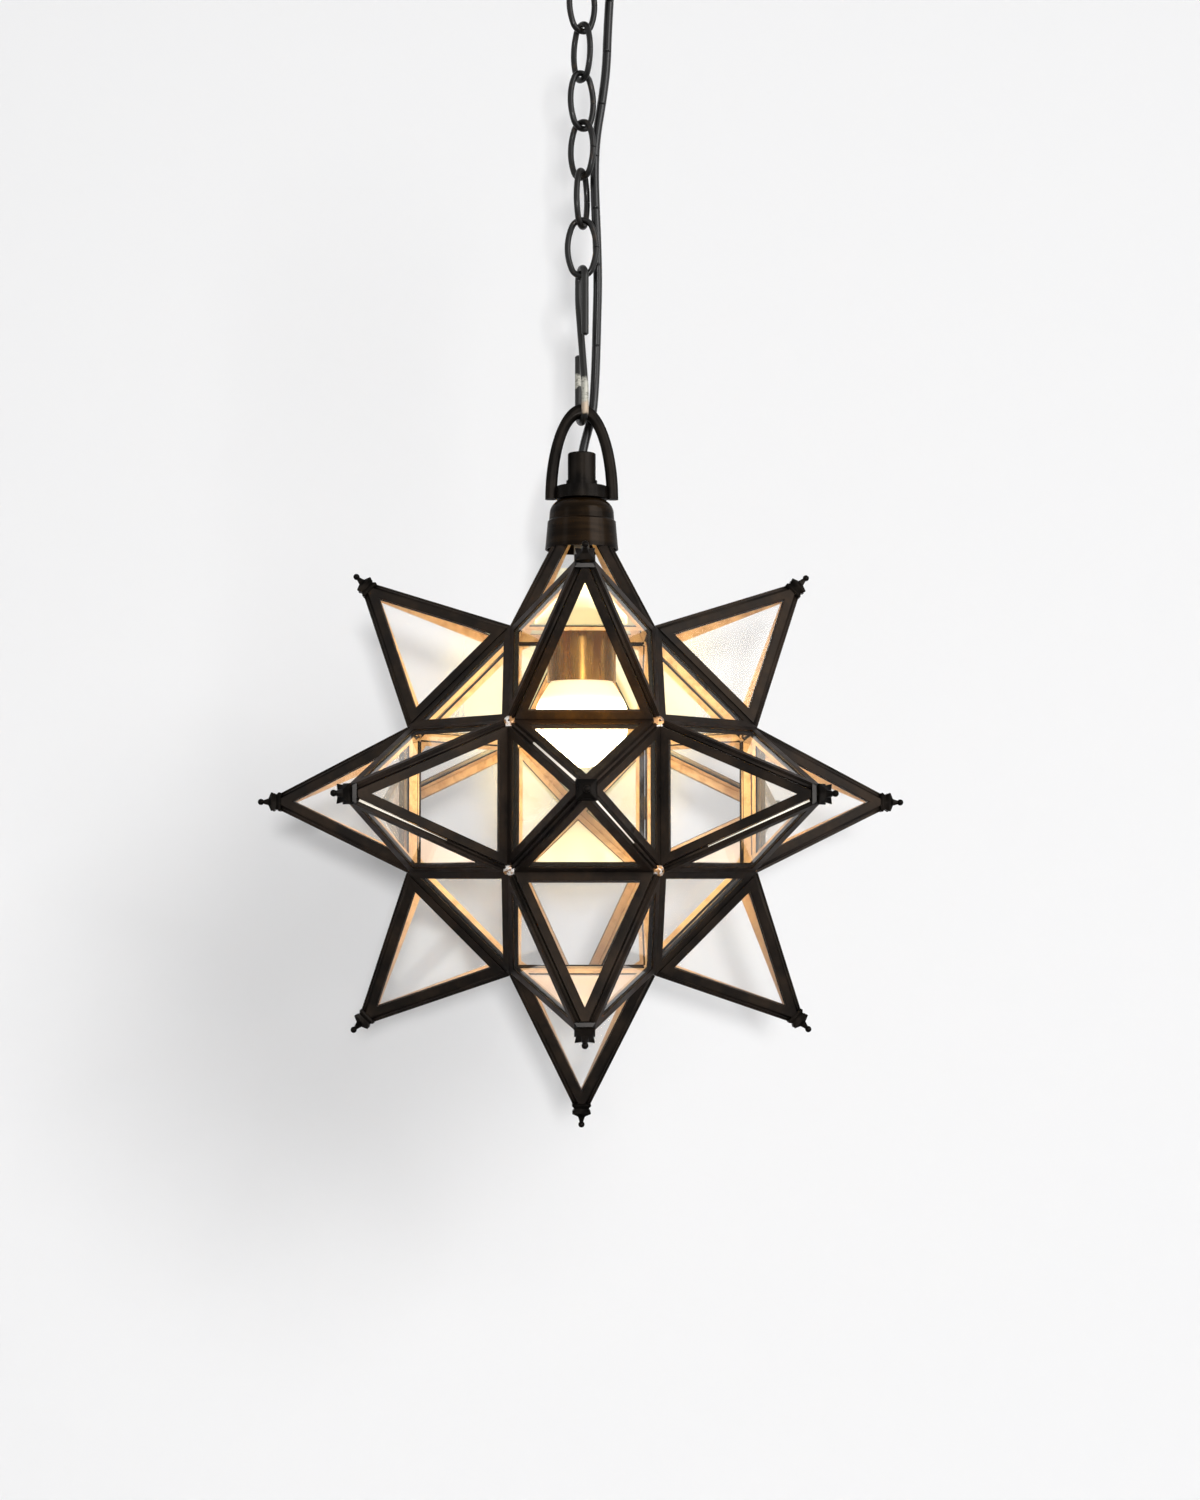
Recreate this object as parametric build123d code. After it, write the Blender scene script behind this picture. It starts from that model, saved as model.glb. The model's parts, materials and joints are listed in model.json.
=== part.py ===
from build123d import *
import os
from math import acos, atan2, cos, degrees, radians, sin, sqrt, tan

# A glazed star lantern on a chain, in millimetres. +Z is up, the front faces -Y,
# and the origin is on the ceiling above the canopy's centre.

# Star: a rhombicuboctahedron core with a glazed point on each of its squares
core_edge = 88.0
point_height = 92.0
tip_cut = 7.5
square_bend = 45.0

# Came: the U-section edging of every pane, soldered to its neighbours
came_width = 5.2
came_web = 0.8
came_flange = 0.9
came_gap = 0.2
glass_thickness = 2.0
glass_gap = 0.1
door_gap = 0.4

# Finial: a four-cornered crown with a ball, one on each point
crown_seat = 5.6
crown_foot = 6.1
crown_foot_at = 1.3
crown_waist = 4.5
crown_waist_at = 3.1
crown_flare = 8.3
crown_rim_flat = 4.9
crown_rim_at = 5.4
crown_rim = 0.9
roof_break = 2.2
roof_break_at = 8.3
finial_neck = 1.2
finial_neck_top = 11.9
finial_ball = 2.0

# Door: the back point turns on a butt hinge and closes on a bent tab
hinge_length = 42.0
knuckle_radius = 1.8
leaf_thickness = 0.7
leaf_width = 9.0
leaf_seat = 0.1
knuckle_gap = 0.3
pin_radius = 0.8
pin_fit = 0.06
pin_head = 1.3
pin_head_height = 1.0
tab_length = 16.0
tab_width = 7.0
tab_rest = 0.3

# Loops: the cast stirrups on the canopy and on the lantern
loop_height = 62.0
loop_half_width = 23.5
loop_leg = 7.6
loop_crown = 9.0
loop_bar = 6.5
loop_round = 3.0
loop_disc = 8.0
disc_bite = 0.6

# Chain and S-hook
link_pitch = 32.3
link_width = 22.5
link_end = 7.0
link_wire = 3.9
link_seam = 0.5
link_yaws = (28.0, -56.0, 37.0, -40.0, 68.0, -8.0)
hook_wire = 4.6
hook_half = 7.2
hook_span = 100.4
hook_return = 45.0
hook_cross = 58.0
hook_bend = 45.0
hook_chamfer = 0.9
hook_yaw = -73.5
joint_gap = 0.4

# Canopy, strap and threaded stems
canopy_radius = 63.5
canopy_depth = 26.0
canopy_skirt = 4.0
canopy_flat = 36.0
canopy_round = 7.0
canopy_wall = 1.0
strap_end = 5.0
strap_width = 22.0
strap_thickness = 2.0
slot_spacing = 88.9
slot_width = 4.6
slot_length = 13.0
stem_radius = 5.0
stem_bore = 3.7
thread_fit = 0.1
nut_across = 14.0
nut_thickness = 5.0
lead_radius = 1.1
lead_gap = 0.2

# Cap, lamp holder and lamp
cap_height = 32.5
cap_rim_radius = 23.5
cap_band_radius = 21.9
cap_band_height = 18.0
cap_step = 0.9
cap_top_radius = 20.0
cap_round = 9.5
cap_wall = 1.2
cap_over_square = 56.0
cap_grip = 7.0
cap_clearance = 1.6
vent_gap = 9.0
socket_below_cap = 72.0
socket_radius = 22.0
socket_wall = 1.0
socket_round = 6.0
socket_roof = 3.0
liner_gap = 0.3
liner_inset = 14.0
liner_roof = 2.6
lamp_cap_radius = 13.2
lamp_cap_length = 23.0
lamp_fit = 0.4
lamp_radius = 30.0
lamp_neck = 12.4
lamp_neck_length = 13.0
lamp_length = 80.0
lamp_wall = 1.0
contact_radius = 5.0
contact_step = 2.0
contact_height = 3.0

# Cord and its two grips
cord_diameter = 5.8
cord_play = 0.3
cord_entry = 3.0
cord_flare = 1.8
grip_ring_radius = 10.0
grip_ring = 4.0
grip_radius = 9.0
grip_barrel = 18.0
grip_round = 1.0
bushing_radius = 6.2
bushing_flange = 8.0
bushing_flange_height = 2.0
bushing_length = 14.0
bushing_shank = 5.6
bushing_shank_height = 4.0
bushing_at = (20.5, 15.5)
cord_first_cut = -87.5
cord_span = 35.6
cord_low_cut = -318.0
cord_bend_share = 0.45
cord_points = [
    (20.5, 15.5, -34.0),
    (20.2, 15.2, -56.0),
    (18.5, 13.9, -83.5),
    (17.0, 12.2, -109.5),
    (16.2, 11.6, -134.0),
    (13.2, 10.3, -157.5),
    (9.4, 9.4, -180.0),
    (8.2, 6.4, -203.0),
    (8.8, 4.2, -226.5),
    (9.9, 5.2, -251.0),
    (10.6, 7.2, -276.5),
    (9.9, 9.2, -304.0),
    (9.3, 10.8, -329.5),
    (8.3, 11.5, -349.8),
    (7.0, 9.8, -363.8),
    (3.7, 5.0, -376.3),
    (0.9, 1.1, -387.8),
    (-0.5, -0.6, -396.8),
]

# Sizes that follow from those above
half = core_edge / 2
square_reach = half * (1 + sqrt(2))
slant = sqrt(half**2 + point_height**2)
face_tilt = degrees(atan2(point_height, half))
groove_depth = glass_thickness + 2 * glass_gap
came_depth = groove_depth + 2 * came_flange
came_half = came_depth / 2
ridge_angle = 180 - degrees(acos(cos(radians(face_tilt)) ** 2))
valley_angle = 180 + square_bend - 2 * face_tilt
side_gap = came_half / tan(radians(ridge_angle / 2)) + came_gap / 2
base_gap = came_half / tan(radians(valley_angle / 2)) + came_gap / 2
square_to_triangle = degrees(acos(-sqrt(2 / 3)))
triangle_lean = radians((180 - (360 - square_to_triangle - face_tilt)) / 2)
triangle_gap = (came_gap + came_depth * sin(triangle_lean)) / cos(triangle_lean) - base_gap
seat_height = point_height - tip_cut

link_count = len(link_yaws)
link_inner = link_pitch + joint_gap
link_reach = (link_inner + link_wire) / 2
link_bend = (link_width - link_wire) / 2
canopy_bar = -(canopy_depth + loop_height - loop_crown)
first_link = canopy_bar + joint_gap + link_wire / 2 - link_reach
link_centres = [first_link - k * link_pitch for k in range(link_count)]
hook_top = link_centres[-1] - link_reach + link_wire / 2 + joint_gap + hook_wire / 2
hook_bottom = hook_top - hook_span
lantern_bar = hook_bottom + hook_wire / 2 + joint_gap
loop_base = lantern_bar - (loop_height - loop_crown)
cap_rim = loop_base - cap_height
star_z = cap_rim - cap_over_square - square_reach
socket_top = loop_base - socket_below_cap
liner_bore = lamp_cap_length + contact_height + lamp_fit
liner_height = liner_bore + liner_roof
socket_height = liner_inset + liner_height + socket_roof
socket_bottom = socket_top - socket_height
liner_low = socket_bottom + liner_inset
grip_top = loop_base + loop_disc + grip_ring + grip_barrel
cord_low_end = grip_top - cord_entry
cord_high_end = -(canopy_depth + bushing_length - cord_entry)
hinge_offset = (came_half + leaf_seat + knuckle_radius) / sin(radians(valley_angle / 2))

# Directions of the squares, by tier, and of the triangles
up, down, back = (0, 0, 1), (0, 0, -1), (0, 1, 0)
quarters = [(1, 0), (0, 1), (-1, 0), (0, -1)]
diagonals = [(1, 1), (-1, 1), (-1, -1), (1, -1)]
tiers = {
    "top": [up],
    "upper": [(x, y, 1) for x, y in quarters],
    "belt": [(x, y, 0) for x, y in quarters + diagonals if (x, y, 0) != back],
    "lower": [(x, y, -1) for x, y in quarters],
    "bottom": [down],
    "door": [back],
}
octants = [(x, y, z) for x, y in diagonals for z in (1, -1)]
rising = (Align.CENTER, Align.CENTER, Align.MIN)
from_edge = (Align.CENTER, Align.MIN, Align.MIN)


def square_location(direction):
    normal = Vector(direction).normalized()
    level = Vector(1, 0, 0) if direction in (up, down) else Vector(0, 0, 1).cross(normal)
    return Plane(Vector(0, 0, star_z) + normal * square_reach, level, normal).location


def face_in_point(turn):
    leaning = Plane((0, -half, 0), (1, 0, 0), (0, -point_height, half))
    return Rot(0, 0, 90 * turn) * leaning.location


def triangle_location(octant):
    x, y, z = octant
    far = half * (1 + sqrt(2))
    side_x = Vector(x * far, y * half, z * half)
    side_y = Vector(x * half, y * far, z * half)
    peak = Vector(x * half, y * half, z * far)
    middle = (side_x + side_y) * 0.5
    normal = Vector(octant).normalized()
    level = (peak - middle).cross(normal)
    return Plane(Vector(0, 0, star_z) + middle, level, normal).location


def slab(outline, thickness):
    return extrude(outline, thickness / 2, both=True)


def inset_triangle(height, base_inset, side_inset):
    lean = atan2(half, height)
    half_base = half - base_inset * tan(lean) - side_inset / cos(lean)
    tip = base_inset + half_base / tan(lean)
    return Polygon((-half_base, base_inset), (half_base, base_inset), (0, tip), align=None)


def came_frame(height, base_inset, side_inset):
    def outline(step):
        return inset_triangle(height, base_inset + step, side_inset + step)

    frame = slab(outline(0), came_depth) - slab(outline(came_width), 2 * came_depth)
    return frame - slab(outline(came_web), groove_depth)


def glass_pane(height, base_inset, side_inset):
    edge = came_web + glass_gap
    return slab(inset_triangle(height, base_inset + edge, side_inset + edge), glass_thickness)


def below(shape, height):
    return split(shape, Plane.XY.offset(height), keep=Keep.BOTTOM)


def point_face(extra_gap, frame_top, glass_top):
    insets = (slant, base_gap + extra_gap, side_gap)
    frame = below(face_in_point(0) * came_frame(*insets), frame_top)
    pane = below(face_in_point(0) * glass_pane(*insets), glass_top)
    return frame, pane


def top_face():
    frame, pane = point_face(0, cap_over_square + cap_grip, cap_over_square - vent_gap)
    room = Pos(0, 0, cap_over_square - came_gap) * Cylinder(core_edge, core_edge, align=rising)
    throat_radius = cap_rim_radius - cap_wall - cap_clearance
    throat = Cylinder(throat_radius, 2 * core_edge, align=rising)
    return frame - (room - throat), pane


def on_squares(shape, directions, turns=range(4)):
    return [
        square_location(direction) * Rot(0, 0, 90 * turn) * shape
        for direction in directions
        for turn in turns
    ]


def crown_section(height, corner, flat):
    turns = [radians(45 * k) for k in range(8)]
    reach = [corner if k % 2 else flat for k in range(8)]
    points = [(r * cos(a), r * sin(a)) for r, a in zip(reach, turns)]
    return Pos(0, 0, height) * Polygon(*points, align=None)


def finial():
    sections = [
        crown_section(0, crown_seat * sqrt(2), crown_seat),
        crown_section(crown_foot_at, crown_foot * sqrt(2), crown_foot),
        crown_section(crown_waist_at, crown_waist * sqrt(2), crown_waist),
        crown_section(crown_rim_at, crown_flare, crown_rim_flat),
        crown_section(crown_rim_at + crown_rim, crown_flare, crown_rim_flat),
        crown_section(roof_break_at, roof_break * sqrt(2), roof_break),
        crown_section(finial_neck_top, finial_neck, finial_neck),
    ]
    crown = loft(sections, ruled=True)
    ball_at = finial_neck_top - finial_neck / 2 + finial_ball
    return crown + Pos(0, 0, ball_at) * Sphere(finial_ball)


def leaf(own):
    """A hinge leaf lying on a face's came, with knuckles on its own spans of the pin."""
    low = hinge_offset * cos(radians(valley_angle / 2))
    high = hinge_offset * sin(radians(valley_angle / 2))
    clear = low + knuckle_radius + knuckle_gap
    plate = Box(hinge_length, leaf_width - clear, leaf_thickness, align=from_edge)
    shape = Pos(0, clear, came_half) * plate
    for start, end in own:
        span = end - start
        tongue = Box(span, clear - low, leaf_thickness + leaf_seat, align=Align.MIN)
        shape += Pos(start, low, came_half) * tongue
        barrel = Cylinder(knuckle_radius, span, align=rising)
        shape += Pos(start, low, high) * Rot(0, 90, 0) * barrel
    bore = Cylinder(pin_radius + pin_fit, 2 * hinge_length)
    return shape - Pos(0, low, high) * Rot(0, 90, 0) * bore


def hinge_spans():
    third = hinge_length / 3
    edge = third / 2
    middle = [(-edge + knuckle_gap / 2, edge - knuckle_gap / 2)]
    end = hinge_length / 2
    outer = [(-end, -edge - knuckle_gap / 2), (edge + knuckle_gap / 2, end)]
    return middle, outer


def hinge_pin():
    low = hinge_offset * cos(radians(valley_angle / 2))
    high = hinge_offset * sin(radians(valley_angle / 2))
    rod = Cylinder(pin_radius, hinge_length + 2 * knuckle_gap)
    head = Cylinder(pin_head, pin_head_height)
    end = hinge_length / 2 + knuckle_gap + pin_head_height / 2
    ends = [Pos(0, 0, side * end) * head for side in (1, -1)]
    return Pos(0, low, high) * Rot(0, 90, 0) * (rod + ends)


def door_tab():
    """An angle strip: one leg soldered to the door's came, the other resting over its neighbour's."""
    corner = (came_half + tab_rest) / tan(radians(valley_angle / 2))
    leg = Box(tab_length, tab_width - corner, leaf_thickness, align=from_edge)
    on_door = square_location(back) * face_in_point(3) * Pos(0, corner, came_half) * leg
    over = Pos(0, corner, came_half + tab_rest)
    on_neighbour = square_location((1, 1, 0)) * face_in_point(1) * over * leg
    return on_door + on_neighbour


def stirrup():
    """A cast loop standing on its disc, arch in the XZ plane."""

    def arch(half_width, height):
        return Ellipse(half_width, height) & Pos(0, height) * Rectangle(4 * half_width, 2 * height)

    inner = arch(loop_half_width - loop_leg, loop_height - loop_crown)
    bow = slab(Plane.XZ * (arch(loop_half_width, loop_height) - inner), loop_bar)
    bow = fillet(bow.edges().filter_by(GeomType.ELLIPSE), loop_round)
    disc = Cylinder(loop_half_width - loop_leg + disc_bite, loop_disc, align=rising)
    return bow + disc - Cylinder(stem_radius + thread_fit, 3 * loop_disc)


def chain_link():
    """A four-arc oval of wire, its butt seam halfway along one side."""
    rise = link_reach - link_end
    bow = (link_bend**2 - link_end**2 + rise**2) / (2 * (link_bend - link_end))
    turn = atan2(rise, bow - link_bend)
    seam = link_seam / 2 / bow

    def side(angle, mirror=1):
        return Vector(mirror * (link_bend - bow + bow * cos(angle)), 0, bow * sin(angle))

    path = Wire(
        [
            Edge.make_three_point_arc(side(seam), side((seam + turn) / 2), side(turn)),
            Edge.make_three_point_arc(side(turn), (0, 0, link_reach), side(turn, -1)),
            Edge.make_three_point_arc(side(turn, -1), side(0, -1), side(-turn, -1)),
            Edge.make_three_point_arc(side(-turn, -1), (0, 0, -link_reach), side(-turn)),
            Edge.make_three_point_arc(side(-turn), side(-(seam + turn) / 2), side(-seam)),
        ]
    )
    start = Plane(side(seam), x_dir=(0, 1, 0), z_dir=(-sin(seam), 0, cos(seam)))
    return sweep(start * Circle(link_wire / 2), path)


def s_hook():
    """Upper bend opens to +X, lower bend to -X, ends chamfered; height measured from the lower bend."""
    top = hook_span - hook_half
    middle = hook_span / 2
    tops = (Vector(hook_half, 0, top), Vector(0, 0, hook_span), Vector(-hook_half, 0, top))
    feet = (Vector(hook_half, 0, hook_half), Vector(0, 0, 0), Vector(-hook_half, 0, hook_half))
    upper_end = Vector(hook_half, 0, hook_span - hook_return)
    lower_end = Vector(-hook_half, 0, hook_return)
    turns = [
        (-hook_half, 0, middle + hook_cross / 2),
        (hook_half, 0, middle - hook_cross / 2),
    ]
    body = FilletPolyline(tops[2], *turns, feet[0], radius=hook_bend)
    path = Wire(
        [
            Edge.make_line(upper_end, tops[0]),
            Edge.make_three_point_arc(*tops),
            *body.edges(),
            Edge.make_three_point_arc(*feet),
            Edge.make_line(feet[2], lower_end),
        ]
    )
    start = Plane(upper_end, x_dir=(1, 0, 0), z_dir=(0, 0, 1))
    hook = sweep(start * Circle(hook_wire / 2), path)
    ends = hook.faces().filter_by(GeomType.PLANE).edges()
    return chamfer(ends, hook_chamfer)


def nut():
    hexagon = RegularPolygon(nut_across / 2, 6, major_radius=False)
    return extrude(hexagon - Circle(stem_radius + thread_fit), nut_thickness)


def stem(length):
    return Cylinder(stem_radius, length, align=rising) - Cylinder(stem_bore, length, align=rising)


def leads(length):
    wire = Cylinder(lead_radius, length, align=rising)
    return [Pos(side * (lead_radius + lead_gap / 2), 0, 0) * wire for side in (1, -1)]


def canopy():
    profile = Polygon(
        (0, 0),
        (canopy_radius, 0),
        (canopy_radius, -canopy_skirt),
        (canopy_flat, -canopy_depth),
        (0, -canopy_depth),
        align=None,
    )
    dome = revolve(Plane.XZ * profile, Axis.Z)
    dome = fillet(dome.edges().filter_by(GeomType.CIRCLE).sort_by(Axis.Z)[0:2], canopy_round)
    shell = offset(dome, amount=-canopy_wall, openings=dome.faces().sort_by(Axis.Z)[-1])
    holes = Cylinder(stem_radius + thread_fit, 4 * canopy_depth)
    holes += Pos(*bushing_at) * Cylinder(bushing_shank + thread_fit, 4 * canopy_depth)
    return shell - holes


def mounting_strap():
    strap_length = slot_spacing + slot_length + 2 * strap_end
    outline = SlotOverall(strap_length, strap_width)
    for side in (1, -1):
        outline -= Pos(side * slot_spacing / 2, 0) * SlotOverall(slot_length, slot_width)
    return extrude(outline - Circle(stem_radius + thread_fit), -strap_thickness)


def bushing():
    """The cord's strain relief: its flange against the canopy's face, its shank through the wall."""
    body = Cylinder(bushing_flange, bushing_flange_height, align=rising)
    body += Pos(0, 0, -bushing_shank_height) * Cylinder(bushing_shank, bushing_shank_height, align=rising)
    body += Cylinder(bushing_radius, bushing_length, align=rising)
    mouth = body.edges().filter_by(GeomType.CIRCLE).sort_by(Axis.Z)[-1]
    return entry_cut(fillet(mouth, grip_round), bushing_length)


def cord_grip():
    """Screwed on the stem above the loop's disc; the cord's end sits in its flared mouth."""
    body = Cylinder(grip_ring_radius, grip_ring, align=rising)
    body += Pos(0, 0, grip_ring) * Cylinder(grip_radius, grip_barrel, align=rising)
    mouth = body.edges().filter_by(GeomType.CIRCLE).sort_by(Axis.Z)[-1]
    body = fillet(mouth, grip_round)
    return entry_cut(body, grip_ring + grip_barrel) - Cylinder(stem_radius + thread_fit, 2 * grip_ring)


def entry_cut(body, length):
    tight = cord_diameter / 2 + cord_play
    mouth = Pos(0, 0, length - cord_entry) * Cone(tight, tight + cord_flare, cord_entry, align=rising)
    return body - mouth - Cylinder(2 * lead_radius + cord_play, 4 * length)


def cap():
    """A two-tier bell: a flaring band below, a domed top above it."""

    def bell(wall):
        profile = Polygon(
            (0, 0),
            (cap_rim_radius - wall, 0),
            (cap_band_radius - wall, cap_band_height),
            (cap_band_radius - cap_step - wall, cap_band_height + cap_step),
            (cap_top_radius - wall, cap_height - wall),
            (0, cap_height - wall),
            align=None,
        )
        body = revolve(Plane.XZ * profile, Axis.Z)
        return fillet(body.edges().filter_by(GeomType.CIRCLE).sort_by(Axis.Z)[-1], cap_round - wall)

    return bell(0) - bell(cap_wall) - Cylinder(stem_radius + thread_fit, 4 * cap_height)


def socket_shell():
    can = Cylinder(socket_radius, socket_height, align=rising)
    can = fillet(can.edges().filter_by(GeomType.CIRCLE).sort_by(Axis.Z)[-1], socket_round)
    bore = Cylinder(socket_radius - socket_wall, socket_height - socket_roof, align=rising)
    bore = fillet(bore.edges().filter_by(GeomType.CIRCLE).sort_by(Axis.Z)[-1], socket_round - socket_wall)
    return can - bore - Cylinder(stem_radius + thread_fit, 3 * socket_height)


def socket_liner():
    body = Cylinder(socket_radius - socket_wall - liner_gap, liner_height, align=rising)
    body = fillet(body.edges().filter_by(GeomType.CIRCLE).sort_by(Axis.Z)[-1], socket_round - socket_wall)
    return body - Cylinder(lamp_cap_radius + lamp_fit, liner_bore, align=rising)


def lamp_cap():
    shell = Cylinder(lamp_cap_radius, lamp_cap_length, align=rising)
    contact = Cone(lamp_cap_radius - contact_step, contact_radius, contact_height, align=rising)
    neck = Cylinder(lamp_neck + lamp_fit / 2, lamp_cap_length / 2, align=rising)
    return shell + Pos(0, 0, lamp_cap_length) * contact - neck


def lamp_glass():
    """A pear-shaped lamp: the neck's cone runs tangent into the ball."""
    rise = lamp_length - lamp_radius
    shoulder = rise - lamp_neck_length
    away = sqrt(shoulder**2 + lamp_neck**2)
    tangent = atan2(lamp_neck, shoulder) + acos(lamp_radius / away)
    touch = (lamp_radius * sin(tangent), lamp_radius * cos(tangent))
    halfway = (tangent + radians(180)) / 2
    side = (lamp_radius * sin(halfway), lamp_radius * cos(halfway))
    outline = Polyline((0, -lamp_radius), (0, rise), (lamp_neck, rise), (lamp_neck, shoulder), touch)
    outline += ThreePointArc(touch, side, (0, -lamp_radius))
    bulb = revolve(Plane.XZ * make_face(outline), Axis.Z)
    return offset(bulb, amount=-lamp_wall, openings=bulb.faces().sort_by(Axis.Z)[-1])


def cord():
    corners = [Vector(p) for p in cord_points]
    radii = []
    for before, at, after in zip(corners, corners[1:], corners[2:]):
        turn = radians((at - before).get_angle(after - at))
        shorter = min((at - before).length, (after - at).length)
        radii.append(cord_bend_share * shorter / tan(turn / 2))
    print("cord radii", [round(r) for r in radii])
    path = FilletPolyline(*cord_points, radius=radii)
    start = Plane(path @ 0, z_dir=path % 0)
    tube = sweep(start * Circle(cord_diameter / 2), path)
    section = Circle(cord_diameter / 2).area
    print("cord volume over section times length", round(tube.volume / section / path.length, 4))
    print("cord length", round(path.length, 1))
    return tube


def cord_spans():
    """The cord cut level, one span for each joint of the chain."""
    cuts = [cord_high_end]
    cuts += [cord_first_cut - k * cord_span for k in range(link_count)]
    cuts += [cord_low_cut, cord_low_end]
    tube = cord()
    for number, (high, low) in enumerate(zip(cuts, cuts[1:]), 1):
        between = Pos(0, 0, low) * Box(core_edge, core_edge, high - low, align=rising)
        yield f"cord_span_{number}", tube & between


def star_nodes():
    frame, pane = point_face(0, seat_height, seat_height)
    door_frame, door_pane = point_face(door_gap, seat_height, seat_height)
    faces = {"top": top_face(), "door": (door_frame, door_pane)}
    crown = Pos(0, 0, seat_height) * finial()
    for tier, directions in tiers.items():
        tier_frame, tier_pane = faces.get(tier, (frame, pane))
        yield f"{tier}_point_frames", on_squares(tier_frame, directions)
        yield f"{tier}_point_glass", on_squares(tier_pane, directions)
        if tier != "top":
            yield f"{tier}_finials", on_squares(crown, directions, [0])
    insets = (core_edge * sqrt(3) / 2, triangle_gap, triangle_gap)
    places = [triangle_location(octant) for octant in octants]
    yield "triangle_frames", [place * came_frame(*insets) for place in places]
    yield "triangle_glass", [place * glass_pane(*insets) for place in places]


def door_nodes():
    middle, outer = hinge_spans()
    door_side = square_location(back) * face_in_point(1)
    body_side = square_location((-1, 1, 0)) * face_in_point(3)
    yield "door_hinge_leaf", [door_side * leaf(middle)]
    yield "body_hinge_leaf", [body_side * leaf(outer)]
    yield "hinge_pin", [body_side * hinge_pin()]
    yield "door_tab", [door_tab()]


def chain_nodes():
    for number, (yaw, height) in enumerate(zip(link_yaws, link_centres), 1):
        yield f"chain_link_{number}", [Pos(0, 0, height) * Rot(0, 0, yaw) * chain_link()]
    yield "s_hook", [Pos(0, 0, hook_bottom) * Rot(0, 0, hook_yaw) * s_hook()]


def canopy_nodes():
    hung = Pos(0, 0, -canopy_depth)
    stem_length = canopy_depth + loop_disc - strap_thickness / 2
    yield "canopy", [canopy()]
    yield "mounting_strap", [mounting_strap()]
    yield "strap_nut", [Pos(0, 0, -strap_thickness - nut_thickness) * nut()]
    yield "canopy_stem", [Pos(0, 0, -canopy_depth - loop_disc) * stem(stem_length)]
    yield "canopy_loop", [hung * Rot(0, 0, link_yaws[0] - 90) * Rot(180, 0, 0) * stirrup()]
    yield "canopy_bushing", [hung * Pos(*bushing_at) * Rot(180, 0, 0) * bushing()]


def head_nodes():
    stem_top = loop_base + loop_disc + grip_ring
    stem_low = socket_top - socket_roof
    yield "lantern_loop", [Pos(0, 0, loop_base) * stirrup()]
    yield "cord_grip", [Pos(0, 0, loop_base + loop_disc) * cord_grip()]
    yield "cap", [Pos(0, 0, cap_rim) * cap()]
    yield "cap_nut", [Pos(0, 0, loop_base - cap_wall - nut_thickness) * nut()]
    yield "head_stem", [Pos(0, 0, stem_low) * stem(stem_top - stem_low)]
    lead_low = liner_low + liner_height
    yield "lamp_leads", [Pos(0, 0, lead_low) * wire for wire in leads(cord_low_end - lead_low)]
    yield "socket_shell", [Pos(0, 0, socket_bottom) * socket_shell()]
    yield "socket_liner", [Pos(0, 0, liner_low) * socket_liner()]
    yield "lamp_cap", [Pos(0, 0, liner_low) * lamp_cap()]
    glass_top = liner_low + lamp_cap_length / 2
    yield "lamp_glass", [Pos(0, 0, glass_top - lamp_length + lamp_radius) * lamp_glass()]


def cord_nodes():
    for name, span in cord_spans():
        yield name, [span]


os.makedirs("parts", exist_ok=True)
for nodes in (canopy_nodes, chain_nodes, head_nodes, star_nodes, door_nodes, cord_nodes):
    for name, shapes in nodes():
        solids = [solid for shape in shapes for solid in shape.solids()]
        export_step(Compound(solids), f"parts/{name}.step")
print("star centre", round(star_z, 2), "lowest", round(star_z - square_reach - seat_height, 1))
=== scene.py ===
import json
import math

import bmesh
import bpy
from mathutils import Matrix, Vector


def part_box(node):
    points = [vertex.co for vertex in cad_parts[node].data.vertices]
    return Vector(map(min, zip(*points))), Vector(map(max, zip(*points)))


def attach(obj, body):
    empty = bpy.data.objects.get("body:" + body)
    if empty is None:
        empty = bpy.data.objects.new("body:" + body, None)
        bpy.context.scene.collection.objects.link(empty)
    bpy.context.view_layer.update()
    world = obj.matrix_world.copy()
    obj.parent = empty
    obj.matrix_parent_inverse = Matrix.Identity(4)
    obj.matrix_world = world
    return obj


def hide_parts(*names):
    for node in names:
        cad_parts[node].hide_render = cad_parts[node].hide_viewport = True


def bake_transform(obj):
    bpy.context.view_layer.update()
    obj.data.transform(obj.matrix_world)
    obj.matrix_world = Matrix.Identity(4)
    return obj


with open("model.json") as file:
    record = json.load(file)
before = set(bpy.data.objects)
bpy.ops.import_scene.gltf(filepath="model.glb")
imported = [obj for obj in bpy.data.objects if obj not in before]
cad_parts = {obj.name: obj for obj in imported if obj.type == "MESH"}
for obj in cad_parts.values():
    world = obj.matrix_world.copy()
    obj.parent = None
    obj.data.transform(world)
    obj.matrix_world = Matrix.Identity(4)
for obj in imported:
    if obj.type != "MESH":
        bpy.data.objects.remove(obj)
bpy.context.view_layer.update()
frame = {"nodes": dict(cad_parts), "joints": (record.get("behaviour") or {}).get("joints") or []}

nodes = frame["nodes"]
beltLow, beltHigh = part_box("belt_point_frames")
starCentre = Vector((0, 0, (beltLow.z + beltHigh.z) / 2))
lampLow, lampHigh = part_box("lamp_glass")
lampCentre = Vector((0, 0, lampLow.z + (lampHigh.x - lampLow.x) / 2))
print("frame loaded:", len(nodes), "nodes, star centre at", round(starCentre.z, 4))


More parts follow.
